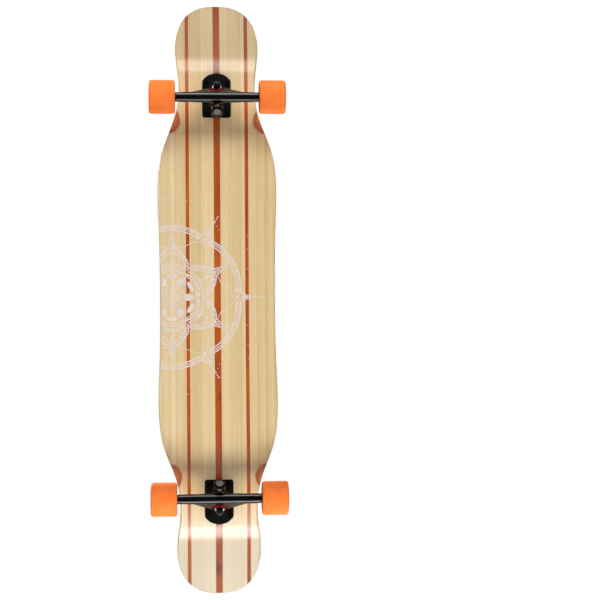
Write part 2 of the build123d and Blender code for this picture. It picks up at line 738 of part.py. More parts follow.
# ---- Bearings, spacers and axle nuts --------------------------------------------------------
def turned(points):
    """A closed profile of (y, radius) points, to revolve about the axle."""
    with BuildSketch(AXLE_PLANE) as profile:
        with BuildLine():
            Polyline(*points, close=True)
        make_face()
    return profile.sketch


def ring(start_y, length, inner, outer):
    """The profile of a plain ring on the axle."""
    return turned(
        [
            (start_y, inner),
            (start_y + length, inner),
            (start_y + length, outer),
            (start_y, outer),
        ]
    )


def raceway(start_y):
    """The profile of the groove that a bearing's balls run in."""
    with BuildSketch(AXLE_PLANE) as groove:
        with Locations((start_y + BEARING_WIDTH / 2, BALL_PITCH_RADIUS)):
            Circle(BALL_RADIUS + RUNNING_CLEARANCE)
    return groove.sketch


BEARING_STARTS = (FIRST_BEARING_Y, SECOND_BEARING_Y)

with BuildPart() as bearing_inner_races:
    for bearing_y in BEARING_STARTS:
        revolve(ring(bearing_y, BEARING_WIDTH, AXLE_RADIUS, INNER_RACE_RADIUS), axis=AXLE_AXIS)
    for bearing_y in BEARING_STARTS:
        revolve(raceway(bearing_y), axis=AXLE_AXIS, mode=Mode.SUBTRACT)
    mirror(about=Plane.XZ)
save_for_trucks(bearing_inner_races.part, "bearing_inner_races")

with BuildPart() as bearing_balls:
    for bearing_y in BEARING_STARTS:
        ball_plane = Plane(
            origin=(AXLE_X, bearing_y + BEARING_WIDTH / 2, AXLE_Z),
            x_dir=(1, 0, 0),
            z_dir=(0, 1, 0),
        )
        with Locations(ball_plane):
            with PolarLocations(BALL_PITCH_RADIUS, BALLS):
                Sphere(BALL_RADIUS)
    mirror(about=Plane.XZ)
save_for_trucks(bearing_balls.part, "bearing_balls")

with BuildPart() as bearing_spacers:
    spacer_y = FIRST_BEARING_Y + BEARING_WIDTH
    revolve(ring(spacer_y, SPACER_LENGTH, AXLE_RADIUS, SPACER_RADIUS), axis=AXLE_AXIS)
    mirror(about=Plane.XZ)
save_for_trucks(bearing_spacers.part, "bearing_spacers")

with BuildPart() as speed_rings:
    for ring_y in (HANGER_HALF_WIDTH, STACK_END_Y):
        revolve(ring(ring_y, SPEED_RING, AXLE_RADIUS, INNER_RACE_RADIUS), axis=AXLE_AXIS)
    mirror(about=Plane.XZ)
save_for_trucks(speed_rings.part, "speed_rings")

with BuildPart() as axle_nuts:
    nut_plane = Plane(
        origin=(AXLE_X, STACK_END_Y + SPEED_RING, AXLE_Z),
        x_dir=(1, 0, 0),
        z_dir=(0, 1, 0),
    )
    with BuildSketch(nut_plane):
        RegularPolygon(AXLE_NUT_RADIUS, HEX)
    extrude(amount=AXLE_NUT_HEIGHT * NUT_HEX_SHARE)
    with BuildSketch(nut_plane):
        Circle(AXLE_NUT_RADIUS * NUT_COLLAR_SHARE)
    extrude(amount=AXLE_NUT_HEIGHT)
    with BuildSketch(nut_plane):
        Circle(AXLE_RADIUS)
    extrude(amount=BEYOND, mode=Mode.SUBTRACT)
    mirror(about=Plane.XZ)
save_for_trucks(axle_nuts.part, "axle_nuts")

with BuildPart() as bearing_outer_races:
    for bearing_y in BEARING_STARTS:
        bearing_end = bearing_y + BEARING_WIDTH
        shield_edge = INNER_RACE_RADIUS + SHIELD_GAP
        revolve(
            turned(
                [
                    (bearing_y, BEARING_RADIUS),
                    (bearing_end, BEARING_RADIUS),
                    (bearing_end, shield_edge),
                    (bearing_end - SHIELD_THICKNESS, shield_edge),
                    (bearing_end - SHIELD_THICKNESS, OUTER_RACE_RADIUS),
                    (bearing_y + SHIELD_THICKNESS, OUTER_RACE_RADIUS),
                    (bearing_y + SHIELD_THICKNESS, shield_edge),
                    (bearing_y, shield_edge),
                ]
            ),
            axis=AXLE_AXIS,
        )
    for bearing_y in BEARING_STARTS:
        revolve(raceway(bearing_y), axis=AXLE_AXIS, mode=Mode.SUBTRACT)
save_for_wheels(bearing_outer_races.part, "bearing_outer_races")

# ---- Wheels ---------------------------------------------------------------------------------
with BuildPart() as core:
    first_end = FIRST_BEARING_Y + BEARING_WIDTH
    revolve(
        turned(
            [
                (CORE_INNER_Y, BEARING_RADIUS + CORE_CHAMFER),
                (CORE_INNER_Y + CORE_CHAMFER, BEARING_RADIUS),
                (first_end, BEARING_RADIUS),
                (first_end, SHOULDER_RADIUS),
                (SECOND_BEARING_Y, SHOULDER_RADIUS),
                (SECOND_BEARING_Y, BEARING_RADIUS),
                (CORE_OUTER_Y - CORE_CHAMFER, BEARING_RADIUS),
                (CORE_OUTER_Y, BEARING_RADIUS + CORE_CHAMFER),
                (CORE_OUTER_Y, CORE_RADIUS),
                (CORE_INNER_Y, CORE_RADIUS),
            ]
        ),
        axis=AXLE_AXIS,
    )
    # Pockets between the spokes, moulded into both ends of the core.
    for pocket_y, direction in ((CORE_INNER_Y, 1), (CORE_OUTER_Y, -1)):
        with BuildSketch(
            Plane(origin=(AXLE_X, pocket_y, AXLE_Z), x_dir=(1, 0, 0), z_dir=(0, direction, 0))
        ):
            with PolarLocations(POCKET_PITCH_RADIUS, POCKETS):
                SlotOverall(POCKET_LENGTH, POCKET_WIDTH, rotation=90)
        extrude(amount=POCKET_DEPTH, mode=Mode.SUBTRACT)
save_for_wheels(core.part, "core")

with BuildPart() as tyre:
    with BuildSketch(AXLE_PLANE):
        with BuildLine():
            Polyline(
                (WHEEL_INNER_Y, WHEEL_RADIUS - LIP_RADIUS),
                (WHEEL_INNER_Y, FACE_RADIUS),
                (CORE_INNER_Y, CORE_RADIUS),
                (CORE_OUTER_Y, CORE_RADIUS),
                (WHEEL_OUTER_Y, FACE_RADIUS),
                (WHEEL_OUTER_Y, WHEEL_RADIUS - LIP_RADIUS),
            )
            RadiusArc(
                (WHEEL_OUTER_Y, WHEEL_RADIUS - LIP_RADIUS),
                (WHEEL_OUTER_Y - LIP_RADIUS, WHEEL_RADIUS),
                -LIP_RADIUS,
            )
            Line((WHEEL_OUTER_Y - LIP_RADIUS, WHEEL_RADIUS), (WHEEL_INNER_Y + LIP_RADIUS, WHEEL_RADIUS))
            RadiusArc(
                (WHEEL_INNER_Y + LIP_RADIUS, WHEEL_RADIUS),
                (WHEEL_INNER_Y, WHEEL_RADIUS - LIP_RADIUS),
                -LIP_RADIUS,
            )
        make_face()
    revolve(axis=AXLE_AXIS)
save_for_wheels(tyre.part, "tyre")
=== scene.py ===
"""A dancing longboard, seen from below: looks for the CAD frame, and the print on the deck."""

import json
from math import cos, pi, radians, sin

import bpy
from mathutils import Matrix, Vector
from mathutils.bvhtree import BVHTree


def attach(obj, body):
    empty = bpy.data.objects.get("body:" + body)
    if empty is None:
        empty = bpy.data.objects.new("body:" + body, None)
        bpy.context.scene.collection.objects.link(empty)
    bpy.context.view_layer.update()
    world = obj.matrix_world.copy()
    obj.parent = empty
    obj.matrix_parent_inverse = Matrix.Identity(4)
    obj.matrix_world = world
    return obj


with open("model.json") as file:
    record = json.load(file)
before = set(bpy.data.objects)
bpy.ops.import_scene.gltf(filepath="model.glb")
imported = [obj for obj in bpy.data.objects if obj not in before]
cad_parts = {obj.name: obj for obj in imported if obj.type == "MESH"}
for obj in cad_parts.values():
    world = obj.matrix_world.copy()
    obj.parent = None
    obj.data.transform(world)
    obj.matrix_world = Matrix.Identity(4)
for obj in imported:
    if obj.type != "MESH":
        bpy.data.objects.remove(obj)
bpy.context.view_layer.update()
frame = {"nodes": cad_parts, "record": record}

MM = 0.001

# ---- Camera ---------------------------------------------------------------------------------
CAMERA_PLACE = (-0.0840, -0.0622, -3.0205)
CAMERA_TURN = 0.07205  # towards +Y, in radians
CAMERA_TILT = 0.02540  # towards +X
CAMERA_ROLL = -0.00799
LENS = 94.62
SENSOR = 36.0

# ---- Light ----------------------------------------------------------------------------------
WORLD_LIGHT = 0.18
WORLD_MIRRORED = 0.03  # what glossy surfaces see, so that black parts stay black
WORLD_TINT = (1.0, 0.84, 0.64, 1.0)  # fills the shade under the trucks with warm light
WHITE = (1.0, 1.0, 1.0, 1.0)
FLOOR_SIZE = 60.0
# The floor's glow grows with the distance from the board, between these two distances.
FLOOR_NEAR = 1.0
FLOOR_FAR = 7.0
FLOOR_GLOW_NEAR = 0.55
FLOOR_GLOW_FAR = 0.86

# ---- Deck -----------------------------------------------------------------------------------
STRIP_WIDTH = 13.1 * MM
FINE_STRIP_WIDTH = 0.43 * STRIP_WIDTH
CENTRE_STRINGER = 6.5 * MM  # half width
SIDE_STRINGER_Y = 58.6 * MM
SIDE_STRINGER = 3.5 * MM  # half width
BORDER = 1.7 * MM  # of paler wood beside each stringer
# The rise that the core's ply lines follow, as (distance from the middle, rise), in metres. It
# matches the deck's own rise on the kicks, and is up to 2.1 mm lower between the trucks.
PROFILE = [
    (0.0, 0.0140),
    (0.060, 0.0129),
    (0.120, 0.0098),
    (0.180, 0.0062),
    (0.230, 0.0036),
    (0.290, 0.0008),
    (0.345, 0.0),
    (0.450, 0.0),
    (0.474, 0.00125),
    (0.4978, 0.0050),
    (0.600, 0.0267),
]
PROFILE_LENGTH = 0.600
PROFILE_HEIGHT = 0.030
DECK_UNDERSIDE = 98.5 * MM
FACE_PLY = 1.2 * MM
PLY = 1.9 * MM  # each ply of the core
# Towards the tail the cane is painted paler by a share, between these distances from the middle:
# painted light, a brightening of the tail's kick that stands in for its stronger light and sheen.
PAINTED_TAIL_LIGHT_FROM = 0.43
PAINTED_TAIL_LIGHT_TO = 0.49
PAINTED_TAIL_LIGHT_SHARE = 0.50
WELL_X = 353.0 * MM
WELL_Y = 99.5 * MM
WELL_RADIUS = 30.5 * MM

# ---- Wheels ---------------------------------------------------------------------------------
AXLE_X = 388.7 * MM
AXLE_Z = 32.5 * MM
# The tread's worn look fades in between these two distances from the axle.
TREAD_START = 31.8 * MM
TREAD_FULL = 32.4 * MM

# ---- Print ----------------------------------------------------------------------------------
# Its middle, the line that it is cut off at, and its distance from the wood.
PRINT_X = 2.4 * MM
PRINT_Y = -90.8 * MM
PRINT_EDGE_Y = -113.6 * MM
PRINT_GAP = 0.07 * MM
# Its radii are in millimetres and its angles in degrees. Six nodes sit on a scalloped ring.
NODE_STEP = 60
HALF_STEP = NODE_STEP // 2
RING_RADIUS = 130.0
RING_SWELL = 7.5
DEGREES_IN_RADIAN = 57.3


def srgb(red, green, blue):
    """A colour as read off a screen, 0 to 255, for a node's socket."""
    shares = [value / 255 for value in (red, green, blue)]
    linear = [s / 12.92 if s < 0.04045 else ((s + 0.055) / 1.055) ** 2.4 for s in shares]
    return (*linear, 1.0)


# ---- Materials ------------------------------------------------------------------------------
class Look:
    """A node material: each method adds a node and returns its output socket."""

    def __init__(self, name):
        self.material = bpy.data.materials.new(name)
        self.material.use_nodes = True
        self.tree = self.material.node_tree
        self.shader = self.tree.nodes["Principled BSDF"]
        coordinates = self.tree.nodes.new("ShaderNodeTexCoord")
        self.place = coordinates.outputs["Object"]
        split = self.tree.nodes.new("ShaderNodeSeparateXYZ")
        self.tree.links.new(self.place, split.inputs[0])
        self.x, self.y, self.z = split.outputs

    def put(self, socket, value):
        if isinstance(value, bpy.types.NodeSocket):
            self.tree.links.new(value, socket)
        else:
            socket.default_value = value

    def set(self, **values):
        for name, value in values.items():
            self.put(self.shader.inputs[name.replace("_", " ")], value)

    def math(self, operation, first, second=0.5):
        node = self.tree.nodes.new("ShaderNodeMath")
        node.operation = operation
        self.put(node.inputs[0], first)
        self.put(node.inputs[1], second)
        return node.outputs[0]

    def total(self, *parts):
        """The sum of values, each given with its weight."""
        result = 0.0
        for value, weight in parts:
            result = self.math("ADD", result, self.math("MULTIPLY", value, weight))
        return result

    def apart(self, first, second):
        """How far apart two values are."""
        return self.math("ABSOLUTE", self.math("SUBTRACT", first, second))

    def step(self, value, low, high, start=0.0, end=1.0):
        """value brought smoothly from the range low..high to start..end."""
        node = self.tree.nodes.new("ShaderNodeMapRange")
        node.interpolation_type = "SMOOTHSTEP"
        self.put(node.inputs["Value"], value)
        self.put(node.inputs["From Min"], low)
        self.put(node.inputs["From Max"], high)
        self.put(node.inputs["To Min"], start)
        self.put(node.inputs["To Max"], end)
        return node.outputs[0]

    def vector(self, x, y, z):
        node = self.tree.nodes.new("ShaderNodeCombineXYZ")
        for socket, value in zip(node.inputs, (x, y, z)):
            self.put(socket, value)
        return node.outputs[0]

    def stretched(self, x, y, z):
        """The place in the frame, with each axis scaled by its own number."""
        node = self.tree.nodes.new("ShaderNodeMapping")
        self.put(node.inputs["Vector"], self.place)
        node.inputs["Scale"].default_value = (x, y, z)
        return node.outputs[0]

    def noise(self, vector, scale, detail=3.0, roughness=0.55):
        node = self.tree.nodes.new("ShaderNodeTexNoise")
        self.put(node.inputs["Vector"], vector)
        node.inputs["Scale"].default_value = scale
        node.inputs["Detail"].default_value = detail
        node.inputs["Roughness"].default_value = roughness
        return node.outputs["Fac"]

    def chance(self, value):
        """A random number from 0 to 1 for each whole value."""
        node = self.tree.nodes.new("ShaderNodeTexWhiteNoise")
        node.noise_dimensions = "1D"
        self.put(node.inputs["W"], value)
        return node.outputs["Value"]

    def ramp(self, value, *stops):
        node = self.tree.nodes.new("ShaderNodeValToRGB")
        elements = node.color_ramp.elements
        while len(elements) < len(stops):
            elements.new(0.5)
        for element, (position, colour) in zip(elements, stops):
            element.position = position
            element.color = colour
        self.put(node.inputs[0], value)
        return node.outputs[0]

    def mix(self, share, first, second):
        node = self.tree.nodes.new("ShaderNodeMix")
        node.data_type = "RGBA"
        self.put(node.inputs[0], share)
        self.put(node.inputs[6], first)
        self.put(node.inputs[7], second)
        return node.outputs[2]

    def curve(self, value, points):
        node = self.tree.nodes.new("ShaderNodeFloatCurve")
        line = node.mapping.curves[0]
        while len(line.points) < len(points):
            line.points.new(0.5, 0.5)
        for point, place in zip(line.points, points):
            point.location = place
            point.handle_type = "AUTO_CLAMPED"
        node.mapping.update()
        self.put(node.inputs["Value"], value)
        return node.outputs[0]

    def bump(self, height, distance, strength=1.0):
        node = self.tree.nodes.new("ShaderNodeBump")
        node.inputs["Strength"].default_value = strength
        node.inputs["Distance"].default_value = distance
        earlier = self.shader.inputs["Normal"].links
        if earlier:
            self.put(node.inputs["Normal"], earlier[0].from_socket)
        self.put(node.inputs["Height"], height)
        self.put(self.shader.inputs["Normal"], node.outputs[0])

    def length(self, first, second):
        """The length of a vector with these two parts."""
        squares = self.math("ADD", self.math("POWER", first, 2.0), self.math("POWER", second, 2.0))
        return self.math("SQRT", squares)

    def beside(self, coordinate, place):
        """How far a coordinate is from a place, on both sides of the middle at once."""
        return self.math("SUBTRACT", self.math("ABSOLUTE", coordinate), place)


def strips(look, width, seed):
    """For strips that run along X: (each one's random number, share of a joint line)."""
    across = look.math("ADD", look.math("DIVIDE", look.y, width), 0.37 + seed)
    index = look.math("FLOOR", across)
    from_middle = look.apart(look.math("FRACT", across), 0.5)
    joint = look.step(from_middle, 0.46, 0.5)
    return look.chance(look.math("ADD", index, 40.5 + seed)), joint


def bamboo(name, *tones):
    """Lacquered strips, in tones from the darkest to the palest."""
    look = Look(name)
    tone, joint = strips(look, STRIP_WIDTH, 0.0)
    fine_tone, fine_joint = strips(look, FINE_STRIP_WIDTH, 7.0)
    # Long fibres, and broad slow changes of tone along each strip.
    fibre = look.noise(look.stretched(4.0, 900.0, 60.0), 1.0, 4.0, 0.6)
    streak = look.noise(look.stretched(2.2, 240.0, 30.0), 1.0, 3.0, 0.6)
    cloud = look.noise(look.stretched(7.0, 60.0, 30.0), 1.0, 2.0)
    mixed = look.total((tone, 0.24), (fine_tone, 0.22), (fibre, 0.18), (streak, 0.34),
                       (cloud, 0.16))
    colour = look.ramp(mixed, *zip((0.26, 0.48, 0.64, 0.82), tones))
    # Knuckles of the cane: a faint darker line across each strip, at its own place.
    along = look.math("ADD", look.math("DIVIDE", look.x, 0.31), look.math("MULTIPLY", tone, 7.3))
    from_knuckle = look.apart(look.math("FRACT", along), 0.5)
    knuckle = look.step(from_knuckle, 0.0, 0.018, 0.09, 0.0)
    colour = look.mix(knuckle, colour, srgb(172, 132, 82))
    colour = look.mix(look.math("MULTIPLY", joint, 0.20), colour, srgb(176, 134, 84))
    colour = look.mix(look.math("MULTIPLY", fine_joint, 0.09), colour, srgb(182, 142, 90))
    # Painted light: towards the tail the cane is mixed with a pale cream, a painted brightening of
    # the kick.
    painted_tail_light = look.step(look.x, -PAINTED_TAIL_LIGHT_TO, -PAINTED_TAIL_LIGHT_FROM, PAINTED_TAIL_LIGHT_SHARE, 0.0)
    colour = look.mix(painted_tail_light, colour, srgb(250, 243, 226))
    # Pale borders where the stringers are let in.
    from_line = look.math("ABSOLUTE", look.y)
    to_centre = look.apart(from_line, CENTRE_STRINGER)
    to_side = look.apart(look.apart(from_line, SIDE_STRINGER_Y), SIDE_STRINGER)
    nearest = look.math("MINIMUM", to_centre, to_side)
    border = look.step(nearest, BORDER * 0.55, BORDER, 0.55, 0.0)
    colour = look.mix(border, colour, srgb(240, 205, 170))
    look.set(Base_Color=colour, Roughness=look.step(fibre, 0.25, 0.75, 0.36, 0.46),
             Coat_Weight=0.6, Coat_Roughness=0.15, Specular_IOR_Level=0.10)
    look.bump(fibre, 0.00006, 0.35)
    look.bump(joint, 0.00005, 0.25)
    return look.material


def stringer(name, right_dark):
    """Steamed cane, with the strip on the rider's right darker by a share."""
    look = Look(name)
    fibre = look.noise(look.stretched(6.0, 900.0, 90.0), 1.0, 4.0, 0.62)
    cloud = look.noise(look.stretched(9.0, 30.0, 20.0), 1.0, 2.5)
    colour = look.ramp(
        look.total((fibre, 0.45), (cloud, 0.62)),
        (0.25, srgb(128, 46, 2)),
        (0.48, srgb(168, 74, 8)),
        (0.62, srgb(186, 88, 14)),
        (0.90, srgb(206, 110, 32)),
    )
    # Now and then the steamed cane is burnt darker.
    burnt = look.noise(look.stretched(14.0, 24.0, 10.0), 1.0, 1.0)
    colour = look.mix(look.step(burnt, 0.62, 0.74, 0.0, 0.65), colour, srgb(96, 34, 8))
    # Everything beyond half way to the strip on the right counts as that strip.
    right = look.step(look.y, -SIDE_STRINGER_Y * 0.6, -SIDE_STRINGER_Y * 0.4, right_dark, 0.0)
    colour = look.mix(right, colour, srgb(78, 26, 2))
    look.set(Base_Color=colour, Roughness=look.step(fibre, 0.25, 0.75, 0.36, 0.46),
             Coat_Weight=0.6, Coat_Roughness=0.15, Specular_IOR_Level=0.10)
    look.bump(fibre, 0.00006, 0.35)
    return look.material


def laminate():
    """The core where the wells and the rim cut across its plies: red-brown in the wells."""
    look = Look("core_laminate")
    distance = look.math("DIVIDE", look.math("ABSOLUTE", look.x), PROFILE_LENGTH)
    rise = look.curve(distance, [(x / PROFILE_LENGTH, z / PROFILE_HEIGHT) for x, z in PROFILE])
    height = look.math("SUBTRACT", look.z, look.math("MULTIPLY", rise, PROFILE_HEIGHT))
    level = look.math("DIVIDE", look.math("SUBTRACT", height, DECK_UNDERSIDE + FACE_PLY), PLY)
    tone = look.chance(look.math("ADD", look.math("FLOOR", level), 20.5))
    seam = look.step(look.apart(look.math("FRACT", level), 0.5), 0.42, 0.5)
    fibre = look.noise(look.stretched(12.0, 320.0, 320.0), 1.0, 4.0, 0.6)
    mixed = look.total((tone, 0.45), (fibre, 0.55))
    in_wells = look.ramp(
        mixed,
        (0.15, srgb(184, 98, 48)),
        (0.50, srgb(212, 124, 68)),
        (0.85, srgb(230, 148, 90)),
    )
    on_rim = look.ramp(
        mixed,
        (0.15, srgb(196, 152, 98)),
        (0.50, srgb(214, 178, 124)),
        (0.85, srgb(228, 198, 148)),
    )
    from_well = look.length(look.beside(look.x, WELL_X), look.beside(look.y, WELL_Y))
    outside = look.step(from_well, WELL_RADIUS, WELL_RADIUS + MM)
    colour = look.mix(outside, in_wells, on_rim)
    colour = look.mix(look.math("MULTIPLY", seam, 0.65), colour, srgb(112, 54, 24))
    look.set(Base_Color=colour, Roughness=look.step(fibre, 0.3, 0.7, 0.42, 0.55),
             Coat_Weight=0.3, Coat_Roughness=0.3)
    look.bump(fibre, 0.0001, 0.4)
    look.bump(seam, 0.00012, 0.4)
    return look.material


def gritty_grip():
    look = Look("mint_grip")
    grain = look.noise(look.place, 1500.0, 2.0, 0.7)
    flecks = look.noise(look.place, 620.0, 1.0)
    cloud = look.noise(look.place, 9.0, 3.0)
    colour = look.ramp(
        look.total((grain, 0.55), (cloud, 0.45)),
        (0.25, srgb(190, 205, 168)),
        (0.50, srgb(212, 223, 190)),
        (0.80, srgb(228, 236, 212)),
    )
    colour = look.mix(look.step(flecks, 0.66, 0.72, 0.0, 0.35), colour, srgb(150, 168, 128))
    # Scuffs where shoes have rubbed the sheet.
    scuff = look.noise(look.stretched(22.0, 40.0, 22.0), 1.0, 5.0, 0.7)
    colour = look.mix(look.step(scuff, 0.60, 0.78, 0.0, 0.25), colour, srgb(236, 240, 224))
    look.set(Base_Color=colour, Roughness=look.step(grain, 0.3, 0.7, 0.80, 0.96),
             Specular_IOR_Level=0.25)
    look.bump(grain, 0.0004, 0.8)
    look.bump(flecks, 0.0003, 0.4)
    return look.material


def powder_coat(name, base, worn, roughness, coat_roughness):
    """Satin black over metal, with a fine orange peel and faint handling marks."""
    look = Look(name)
    peel = look.noise(look.place, 900.0, 2.0)
    marks = look.noise(look.stretched(60.0, 25.0, 60.0), 1.0, 6.0, 0.75)
    colour = look.mix(look.step(marks, 0.45, 0.80, 0.0, 0.5), base, worn)
    look.set(Base_Color=colour,
             Roughness=look.step(marks, 0.30, 0.75, roughness - 0.05, roughness + 0.12),
             Coat_Weight=0.4, Coat_Roughness=coat_roughness, Specular_IOR_Level=0.12)
    look.bump(peel, 0.00012, 0.30)
    return look.material


def bright_steel():
    look = Look("bright_steel")
    turning = look.noise(look.stretched(300.0, 2600.0, 300.0), 1.0, 2.0)
    film = look.noise(look.place, 160.0, 4.0)
    colour = look.ramp(film, (0.3, srgb(176, 176, 180)), (0.7, srgb(214, 214, 216)))
    look.set(Base_Color=colour, Metallic=1.0, Roughness=look.step(turning, 0.3, 0.7, 0.20, 0.36))
    look.bump(turning, 0.00004, 0.5)
    return look.material


def red_urethane():
    look = Look("red_urethane")
    cloud = look.noise(look.place, 130.0, 3.0)
    grain = look.noise(look.place, 1300.0, 2.0)
    colour = look.ramp(cloud, (0.3, srgb(138, 14, 22)), (0.7, srgb(178, 30, 36)))
    look.set(Base_Color=colour, Roughness=look.step(grain, 0.3, 0.7, 0.34, 0.48),
             Subsurface_Weight=0.12, Subsurface_Scale=0.002)
    look.bump(grain, 0.00008, 0.4)
    return look.material


def orange_urethane():
    look = Look("orange_urethane")
    cloud = look.noise(look.place, 38.0, 3.0)
    grain = look.noise(look.place, 900.0, 2.0)
    colour = look.ramp(cloud, (0.30, srgb(250, 122, 52)), (0.72, srgb(255, 136, 66)))
    # Fine turning lines round the tread, and a slightly paler worn band on it.
    lines = look.noise(look.vector(0.0, look.math("MULTIPLY", look.y, 2400.0), 0.0), 1.0, 2.0)
    radius = look.length(look.beside(look.x, AXLE_X), look.math("SUBTRACT", look.z, AXLE_Z))
    tread = look.step(radius, TREAD_START, TREAD_FULL)
    dust = look.noise(look.stretched(70.0, 30.0, 70.0), 1.0, 5.0, 0.7)
    colour = look.mix(look.math("MULTIPLY", tread, look.step(dust, 0.5, 0.8, 0.0, 0.22)), colour,
                      srgb(240, 132, 76))
    look.set(Base_Color=colour, Roughness=look.step(grain, 0.3, 0.7, 0.46, 0.58),
             Subsurface_Weight=0.10, Subsurface_Scale=0.004, Specular_IOR_Level=0.3)
    look.shader.inputs["Subsurface Radius"].default_value = (1.0, 0.35, 0.12)
    look.bump(lines, 0.00005, 0.35)
    look.bump(grain, 0.00005, 0.3)
    return look.material


def moulded_hub():
    look = Look("moulded_hub")
    grain = look.noise(look.place, 700.0, 3.0)
    flow = look.noise(look.place, 60.0, 3.0)
    colour = look.ramp(flow, (0.3, srgb(226, 221, 206)), (0.7, srgb(240, 236, 224)))
    look.set(Base_Color=colour, Roughness=look.step(grain, 0.3, 0.7, 0.38, 0.5))
    look.bump(grain, 0.00006, 0.3)
    return look.material


def ink():
    look = Look("print_ink")
    grain = look.noise(look.place, 1800.0, 2.0)
    patches = look.noise(look.place, 90.0, 3.0)
    colour = look.ramp(patches, (0.3, srgb(222, 208, 204)), (0.7, srgb(236, 226, 222)))
    look.set(Base_Color=colour, Roughness=look.step(grain, 0.3, 0.7, 0.34, 0.44),
             Coat_Weight=0.5, Coat_Roughness=0.16)
    look.bump(grain, 0.00002, 0.3)
    return look.material


LOOKS = {
    "bamboo": bamboo("bamboo_underside", srgb(206, 174, 118), srgb(221, 194, 143),
                     srgb(229, 206, 159), srgb(240, 222, 182)),
    "stringer_wood": stringer("stringers_underside", 0.0),
    "core_wood": laminate(),
    "grip": gritty_grip(),
    "truck_black": powder_coat("hanger_powder_coat", srgb(7, 6, 7), srgb(18, 17, 18), 0.34, 0.10),
    "black_steel": powder_coat("black_oxide", srgb(10, 9, 10), srgb(26, 25, 26), 0.38, 0.14),
    "steel": bright_steel(),
    "urethane_red": red_urethane(),
    "wheel_orange": orange_urethane(),
    "hub_plastic": moulded_hub(),
    "print_ink": ink(),
}
# The deck's top is a little warmer than its underside, and the cast plates are duller than the
# hangers.
plate_coat = powder_coat("baseplate_powder_coat", srgb(8, 7, 8), srgb(22, 21, 22), 0.42, 0.34)
OWN_LOOKS = {
    "front_baseplate": plate_coat,
    "rear_baseplate": plate_coat,
    "deck_top_ply": bamboo("bamboo_top", srgb(198, 156, 98), srgb(216, 183, 127),
                           srgb(225, 198, 145), srgb(236, 214, 168)),
    "deck_top_stringers": stringer("stringers_top", 0.7),
}

for subpart in frame["record"]["subparts"]:
    mesh = frame["nodes"][subpart["node"]].data
    mesh.materials.clear()
    look = OWN_LOOKS.get(subpart["node"]) or LOOKS[subpart["material_slot"]]
    mesh.materials.append(look)


# ---- The print ------------------------------------------------------------------------------
def at(radius, angle):
    """A point of the print, at an angle from +Y towards +X."""
    turn = radians(angle)
    return Vector((PRINT_X + radius * MM * sin(turn), PRINT_Y + radius * MM * cos(turn)))


class Print:
    """Flat faces gathered in plan, cut at the deck's edge and laid on its underside."""

    def __init__(self):
        self.faces = []

    def face(self, corners):
        kept = []
        for first, second in zip(corners, corners[1:] + corners[:1]):
            if first.y >= PRINT_EDGE_Y:
                kept.append(first)
            if (first.y - PRINT_EDGE_Y) * (second.y - PRINT_EDGE_Y) < 0:
                share = (PRINT_EDGE_Y - first.y) / (second.y - first.y)
                kept.append(first.lerp(second, share))
        if len(kept) > 2:
            self.faces.append(kept)

    def ribbon(self, points, width, closed=False):
        """A line of one width, in millimetres, through points."""
        half = width * MM / 2
        count = len(points)
        sides = []
        for index, point in enumerate(points):
            before = points[index - 1] if index or closed else point
            after = points[(index + 1) % count] if index + 1 < count or closed else point
            along = (after - before).normalized()
            across = Vector((-along.y, along.x)) * half
            sides.append((point - across, point + across))
        pairs = list(zip(sides, sides[1:]))
        if closed:
            pairs.append((sides[-1], sides[0]))
        for (a, b), (c, d) in pairs:
            self.face([a, c, d, b])

    def blob(self, centre, along, across, angle=0.0, corners=20, point=0.0):
        """A filled ellipse, or a drop when point is above 0, with half sizes in millimetres."""
        turn = radians(angle)
        out = Vector((sin(turn), cos(turn)))
        side = Vector((out.y, -out.x))
        rim = []
        for index in range(corners):
            a = 2 * pi * index / corners
            reach = along * MM * cos(a)
            if cos(a) > 0:
                reach *= 1 + point
            waist = across * MM * sin(a) * (1 - 0.45 * point * max(cos(a), 0.0))
            rim.append(centre + out * reach + side * waist)
        for first, second in zip(rim, rim[1:] + rim[:1]):
            self.face([centre, first, second])

    def arc(self, radius, start, end, width, steps=24):
        """A ribbon along a circle or, when radius is a function of the angle, along a curve."""
        reach = radius if callable(radius) else lambda angle: radius
        angles = [start + (end - start) * index / steps for index in range(steps + 1)]
        self.ribbon([at(reach(angle), angle) for angle in angles], width)

    def mesh(self, name, surface):
        vertices = []
        faces = []
        for corners in self.faces:
            row = []
            for corner in corners:
                hit = surface.ray_cast(Vector((corner.x, corner.y, 0.0)), Vector((0, 0, 1)))[0]
                if hit is None:
                    break
                row.append(Vector((corner.x, corner.y, hit.z - PRINT_GAP)))
            if len(row) == len(corners):
                faces.append(list(range(len(vertices), len(vertices) + len(row)))[::-1])
                vertices.extend(row)
        data = bpy.data.meshes.new(name)
        data.from_pydata(vertices, [], faces)
        data.update()
        piece = bpy.data.objects.new(name, data)
        bpy.context.scene.collection.objects.link(piece)
        data.materials.append(LOOKS["print_ink"])
        return piece


def between(table, value):
    """Straight-line reading of a list of (key, reading)."""
    for (low, first), (high, second) in zip(table, table[1:]):
        if value <= high:
            return first + (second - first) * (value - low) / (high - low)
    return table[-1][1]


# Half of each petal, as (radius, angle from its middle).
PETAL = [(61.0, 30.0), (66.0, 29.4), (77.0, 25.0), (83.0, 19.0), (89.0, 14.0), (99.0, 4.4),
         (110.0, 2.2), (127.0, 0.0)]
INNER_PETAL = [(61.0, 25.5), (68.0, 23.5), (75.0, 18.0), (82.0, 10.5), (90.0, 3.4), (100.0, 0.0)]
PETAL_STEPS = 26


def petal_angle(table, radius, shrink):
    """Half a petal's angle at a radius, when its edge is moved in by shrink millimetres."""
    return max(between(table, radius) - shrink * DEGREES_IN_RADIAN / radius, 0.0)


def petal_side(table, middle, side, start, end, shrink=0.0):
    """Points up one side of a petal, from radius start to radius end."""
    points = []
    for index in range(PETAL_STEPS + 1):
        radius = start + (end - start) * index / PETAL_STEPS
        points.append(at(radius, middle + side * petal_angle(table, radius, shrink)))
    return points


